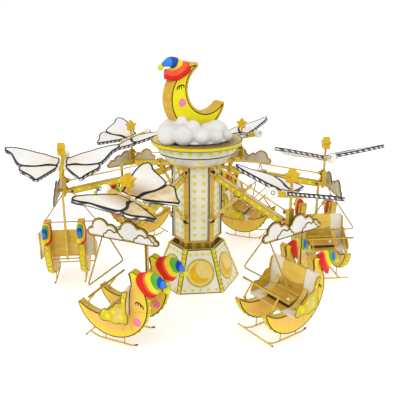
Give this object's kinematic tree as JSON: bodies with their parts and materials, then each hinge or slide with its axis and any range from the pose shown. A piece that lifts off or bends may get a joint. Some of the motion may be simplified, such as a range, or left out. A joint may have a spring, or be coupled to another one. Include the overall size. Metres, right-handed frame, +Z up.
{
  "type": "chair swing ride",
  "caption": "Fairground ride: a turning tower on a faceted base, with lifting arms that carry crescent-shaped gondolas under winged figures and cloud plaques.",
  "frame": {"origin": "centre of the base's underside, on the ground and on the axis that the tower turns about", "axes": "+Z up along the turning axis, +X along arm 1, and arms 2 to 6 follow every 60 degrees counter-clockwise seen from above; a flat side of the base faces -Y"},
  "size_m": [11.4836, 10.4014, 6.9455],
  "materials": {
    "gold_trim": "satin gold paint",
    "white_panels": "glossy white moulded panels with painted ornaments",
    "bearing_steel": "painted steel",
    "shaft_panels": "white moulded panels with rows of lamps",
    "gold_frame": "satin gold paint",
    "drum_panels": "white moulded panels with gold edges and lamps",
    "cornice_yellow": "yellow and gold gloss",
    "cloud_white": "white moulded clouds",
    "moon_yellow": "yellow face with gold edge",
    "cap_stripes": "bands of red, orange, yellow and blue",
    "beam_gold": "satin gold paint with a pale top face",
    "tie_gold": "satin gold paint",
    "barrel_gold": "satin gold paint",
    "rod_chrome": "polished rod",
    "carrier_gold": "satin gold paint, with white and grey clouds",
    "wing_white": "white wings with dark outline",
    "gondola_yellow": "yellow and gold moulded shell with painted ornaments",
    "lap_bar_gold": "satin gold paint"
  },
  "bodies": {
    "base": {"base_frame": "gold_trim", "base_housing": "white_panels", "base_pedestal": "bearing_steel"},
    "tower": {"tower_shaft": "shaft_panels", "tower_frame": "gold_frame", "drum_body": "drum_panels", "drum_cornice": "cornice_yellow", "cloud_bank": "cloud_white", "crescent_moon": "moon_yellow", "nightcap": "cap_stripes"},
    "arm_1_beam": {"arm_1_beam": "beam_gold"},
    "arm_1_tie_rod": {"arm_1_tie_rod": "tie_gold"},
    "arm_1_lift_barrel": {"arm_1_lift_barrel": "barrel_gold"},
    "arm_1_lift_rod": {"arm_1_lift_rod": "rod_chrome"},
    "arm_1_lap_bar": {"arm_1_lap_bar": "lap_bar_gold"},
    "arm_1_carrier": {"arm_1_carrier": "carrier_gold", "arm_1_bird": "wing_white", "arm_1_gondola": "gondola_yellow"},
    "arm_2_beam": {"arm_2_beam": "beam_gold"},
    "arm_2_tie_rod": {"arm_2_tie_rod": "tie_gold"},
    "arm_2_lift_barrel": {"arm_2_lift_barrel": "barrel_gold"},
    "arm_2_lift_rod": {"arm_2_lift_rod": "rod_chrome"},
    "arm_2_lap_bar": {"arm_2_lap_bar": "lap_bar_gold"},
    "arm_2_carrier": {"arm_2_carrier": "carrier_gold", "arm_2_bird": "wing_white", "arm_2_gondola": "gondola_yellow"},
    "arm_3_beam": {"arm_3_beam": "beam_gold"},
    "arm_3_tie_rod": {"arm_3_tie_rod": "tie_gold"},
    "arm_3_lift_barrel": {"arm_3_lift_barrel": "barrel_gold"},
    "arm_3_lift_rod": {"arm_3_lift_rod": "rod_chrome"},
    "arm_3_lap_bar": {"arm_3_lap_bar": "lap_bar_gold"},
    "arm_3_carrier": {"arm_3_carrier": "carrier_gold", "arm_3_bird": "wing_white", "arm_3_gondola": "gondola_yellow"},
    "arm_4_beam": {"arm_4_beam": "beam_gold"},
    "arm_4_tie_rod": {"arm_4_tie_rod": "tie_gold"},
    "arm_4_lift_barrel": {"arm_4_lift_barrel": "barrel_gold"},
    "arm_4_lift_rod": {"arm_4_lift_rod": "rod_chrome"},
    "arm_4_lap_bar": {"arm_4_lap_bar": "lap_bar_gold"},
    "arm_4_carrier": {"arm_4_carrier": "carrier_gold", "arm_4_bird": "wing_white", "arm_4_gondola": "gondola_yellow"},
    "arm_5_beam": {"arm_5_beam": "beam_gold"},
    "arm_5_tie_rod": {"arm_5_tie_rod": "tie_gold"},
    "arm_5_lift_barrel": {"arm_5_lift_barrel": "barrel_gold"},
    "arm_5_lift_rod": {"arm_5_lift_rod": "rod_chrome"},
    "arm_5_lap_bar": {"arm_5_lap_bar": "lap_bar_gold"},
    "arm_5_carrier": {"arm_5_carrier": "carrier_gold", "arm_5_bird": "wing_white", "arm_5_gondola": "gondola_yellow"},
    "arm_6_beam": {"arm_6_beam": "beam_gold"},
    "arm_6_tie_rod": {"arm_6_tie_rod": "tie_gold"},
    "arm_6_lift_barrel": {"arm_6_lift_barrel": "barrel_gold"},
    "arm_6_lift_rod": {"arm_6_lift_rod": "rod_chrome"},
    "arm_6_lap_bar": {"arm_6_lap_bar": "lap_bar_gold"},
    "arm_6_carrier": {"arm_6_carrier": "carrier_gold", "arm_6_bird": "wing_white", "arm_6_gondola": "gondola_yellow"}
  },
  "joints": [
    {"name": "tower_spin", "type": "hinge", "parent": "base", "child": "tower", "pos_m": [0, 0, 0], "axis": [0, 0, 1], "continuous": true},
    {"name": "arm_1_lift", "type": "hinge", "parent": "tower", "child": "arm_1_beam", "pos_m": [1, 0, 3.6], "axis": [0, -1, 0], "range_deg": [0, 26]},
    {"name": "arm_1_tie", "type": "hinge", "parent": "tower", "child": "arm_1_tie_rod", "pos_m": [1.12, 0, 3.91], "axis": [0, -1, 0], "range_deg": [0, 26]},
    {"name": "arm_1_level", "type": "hinge", "parent": "arm_1_beam", "child": "arm_1_carrier", "pos_m": [3.76, 0, 3.061], "axis": [0, -1, 0], "range_deg": [-26, 0]},
    {"name": "arm_1_barrel", "type": "hinge", "parent": "tower", "child": "arm_1_lift_barrel", "pos_m": [0.95, 0, 2.34], "axis": [0, -1, 0], "range_deg": [0, 9.46]},
    {"name": "arm_1_rod", "type": "slide", "parent": "arm_1_lift_barrel", "child": "arm_1_lift_rod", "axis": [0.7291, 0, 0.6844], "range_m": [0, 0.373]},
    {"name": "arm_1_lap", "type": "hinge", "parent": "arm_1_carrier", "child": "arm_1_lap_bar", "pos_m": [4, -1.02, 1.12], "axis": [1, 0, 0], "range_deg": [0, 60]},
    {"name": "arm_2_lift", "type": "hinge", "parent": "tower", "child": "arm_2_beam", "pos_m": [0.5, 0.86603, 3.6], "axis": [0.866, -0.5, 0], "range_deg": [0, 26]},
    {"name": "arm_2_tie", "type": "hinge", "parent": "tower", "child": "arm_2_tie_rod", "pos_m": [0.56, 0.96995, 3.91], "axis": [0.866, -0.5, 0], "range_deg": [0, 26]},
    {"name": "arm_2_level", "type": "hinge", "parent": "arm_2_beam", "child": "arm_2_carrier", "pos_m": [1.88, 3.25626, 3.061], "axis": [0.866, -0.5, 0], "range_deg": [-26, 0]},
    {"name": "arm_2_barrel", "type": "hinge", "parent": "tower", "child": "arm_2_lift_barrel", "pos_m": [0.475, 0.82272, 2.34], "axis": [0.866, -0.5, 0], "range_deg": [0, 9.46]},
    {"name": "arm_2_rod", "type": "slide", "parent": "arm_2_lift_barrel", "child": "arm_2_lift_rod", "axis": [0.3645, 0.6314, 0.6844], "range_m": [0, 0.373]},
    {"name": "arm_2_lap", "type": "hinge", "parent": "arm_2_carrier", "child": "arm_2_lap_bar", "pos_m": [2.88335, 2.9541, 1.12], "axis": [0.5, 0.866, 0], "range_deg": [0, 60]},
    {"name": "arm_3_lift", "type": "hinge", "parent": "tower", "child": "arm_3_beam", "pos_m": [-0.5, 0.86603, 3.6], "axis": [0.866, 0.5, 0], "range_deg": [0, 26]},
    {"name": "arm_3_tie", "type": "hinge", "parent": "tower", "child": "arm_3_tie_rod", "pos_m": [-0.56, 0.96995, 3.91], "axis": [0.866, 0.5, 0], "range_deg": [0, 26]},
    {"name": "arm_3_level", "type": "hinge", "parent": "arm_3_beam", "child": "arm_3_carrier", "pos_m": [-1.88, 3.25626, 3.061], "axis": [0.866, 0.5, 0], "range_deg": [-26, 0]},
    {"name": "arm_3_barrel", "type": "hinge", "parent": "tower", "child": "arm_3_lift_barrel", "pos_m": [-0.475, 0.82272, 2.34], "axis": [0.866, 0.5, 0], "range_deg": [0, 9.46]},
    {"name": "arm_3_rod", "type": "slide", "parent": "arm_3_lift_barrel", "child": "arm_3_lift_rod", "axis": [-0.3645, 0.6314, 0.6844], "range_m": [0, 0.373]},
    {"name": "arm_3_lap", "type": "hinge", "parent": "arm_3_carrier", "child": "arm_3_lap_bar", "pos_m": [-1.11665, 3.9741, 1.12], "axis": [-0.5, 0.866, 0], "range_deg": [0, 60]},
    {"name": "arm_4_lift", "type": "hinge", "parent": "tower", "child": "arm_4_beam", "pos_m": [-1, 0, 3.6], "axis": [0, 1, 0], "range_deg": [0, 26]},
    {"name": "arm_4_tie", "type": "hinge", "parent": "tower", "child": "arm_4_tie_rod", "pos_m": [-1.12, 0, 3.91], "axis": [0, 1, 0], "range_deg": [0, 26]},
    {"name": "arm_4_level", "type": "hinge", "parent": "arm_4_beam", "child": "arm_4_carrier", "pos_m": [-3.76, 0, 3.061], "axis": [0, 1, 0], "range_deg": [-26, 0]},
    {"name": "arm_4_barrel", "type": "hinge", "parent": "tower", "child": "arm_4_lift_barrel", "pos_m": [-0.95, 0, 2.34], "axis": [0, 1, 0], "range_deg": [0, 9.46]},
    {"name": "arm_4_rod", "type": "slide", "parent": "arm_4_lift_barrel", "child": "arm_4_lift_rod", "axis": [-0.7291, 0, 0.6844], "range_m": [0, 0.373]},
    {"name": "arm_4_lap", "type": "hinge", "parent": "arm_4_carrier", "child": "arm_4_lap_bar", "pos_m": [-4, 1.02, 1.12], "axis": [-1, 0, 0], "range_deg": [0, 60]},
    {"name": "arm_5_lift", "type": "hinge", "parent": "tower", "child": "arm_5_beam", "pos_m": [-0.5, -0.86603, 3.6], "axis": [-0.866, 0.5, 0], "range_deg": [0, 26]},
    {"name": "arm_5_tie", "type": "hinge", "parent": "tower", "child": "arm_5_tie_rod", "pos_m": [-0.56, -0.96995, 3.91], "axis": [-0.866, 0.5, 0], "range_deg": [0, 26]},
    {"name": "arm_5_level", "type": "hinge", "parent": "arm_5_beam", "child": "arm_5_carrier", "pos_m": [-1.88, -3.25626, 3.061], "axis": [-0.866, 0.5, 0], "range_deg": [-26, 0]},
    {"name": "arm_5_barrel", "type": "hinge", "parent": "tower", "child": "arm_5_lift_barrel", "pos_m": [-0.475, -0.82272, 2.34], "axis": [-0.866, 0.5, 0], "range_deg": [0, 9.46]},
    {"name": "arm_5_rod", "type": "slide", "parent": "arm_5_lift_barrel", "child": "arm_5_lift_rod", "axis": [-0.3645, -0.6314, 0.6844], "range_m": [0, 0.373]},
    {"name": "arm_5_lap", "type": "hinge", "parent": "arm_5_carrier", "child": "arm_5_lap_bar", "pos_m": [-2.88335, -2.9541, 1.12], "axis": [-0.5, -0.866, 0], "range_deg": [0, 60]},
    {"name": "arm_6_lift", "type": "hinge", "parent": "tower", "child": "arm_6_beam", "pos_m": [0.5, -0.86603, 3.6], "axis": [-0.866, -0.5, 0], "range_deg": [0, 26]},
    {"name": "arm_6_tie", "type": "hinge", "parent": "tower", "child": "arm_6_tie_rod", "pos_m": [0.56, -0.96995, 3.91], "axis": [-0.866, -0.5, 0], "range_deg": [0, 26]},
    {"name": "arm_6_level", "type": "hinge", "parent": "arm_6_beam", "child": "arm_6_carrier", "pos_m": [1.88, -3.25626, 3.061], "axis": [-0.866, -0.5, 0], "range_deg": [-26, 0]},
    {"name": "arm_6_barrel", "type": "hinge", "parent": "tower", "child": "arm_6_lift_barrel", "pos_m": [0.475, -0.82272, 2.34], "axis": [-0.866, -0.5, 0], "range_deg": [0, 9.46]},
    {"name": "arm_6_rod", "type": "slide", "parent": "arm_6_lift_barrel", "child": "arm_6_lift_rod", "axis": [0.3645, -0.6314, 0.6844], "range_m": [0, 0.373]},
    {"name": "arm_6_lap", "type": "hinge", "parent": "arm_6_carrier", "child": "arm_6_lap_bar", "pos_m": [1.11665, -3.9741, 1.12], "axis": [0.5, -0.866, 0], "range_deg": [0, 60]}
  ],
  "couplings": [
    {"joint": "arm_1_tie", "follows": "arm_1_lift", "ratio": 1},
    {"joint": "arm_1_level", "follows": "arm_1_lift", "ratio": -1},
    {"joint": "arm_1_barrel", "follows": "arm_1_lift", "ratio": 0.3638},
    {"joint": "arm_1_rod", "follows": "arm_1_lift", "m_per_rad": 0.8218},
    {"joint": "arm_2_tie", "follows": "arm_2_lift", "ratio": 1},
    {"joint": "arm_2_level", "follows": "arm_2_lift", "ratio": -1},
    {"joint": "arm_2_barrel", "follows": "arm_2_lift", "ratio": 0.3638},
    {"joint": "arm_2_rod", "follows": "arm_2_lift", "m_per_rad": 0.8218},
    {"joint": "arm_3_tie", "follows": "arm_3_lift", "ratio": 1},
    {"joint": "arm_3_level", "follows": "arm_3_lift", "ratio": -1},
    {"joint": "arm_3_barrel", "follows": "arm_3_lift", "ratio": 0.3638},
    {"joint": "arm_3_rod", "follows": "arm_3_lift", "m_per_rad": 0.8218},
    {"joint": "arm_4_tie", "follows": "arm_4_lift", "ratio": 1},
    {"joint": "arm_4_level", "follows": "arm_4_lift", "ratio": -1},
    {"joint": "arm_4_barrel", "follows": "arm_4_lift", "ratio": 0.3638},
    {"joint": "arm_4_rod", "follows": "arm_4_lift", "m_per_rad": 0.8218},
    {"joint": "arm_5_tie", "follows": "arm_5_lift", "ratio": 1},
    {"joint": "arm_5_level", "follows": "arm_5_lift", "ratio": -1},
    {"joint": "arm_5_barrel", "follows": "arm_5_lift", "ratio": 0.3638},
    {"joint": "arm_5_rod", "follows": "arm_5_lift", "m_per_rad": 0.8218},
    {"joint": "arm_6_tie", "follows": "arm_6_lift", "ratio": 1},
    {"joint": "arm_6_level", "follows": "arm_6_lift", "ratio": -1},
    {"joint": "arm_6_barrel", "follows": "arm_6_lift", "ratio": 0.3638},
    {"joint": "arm_6_rod", "follows": "arm_6_lift", "m_per_rad": 0.8218}
  ]
}
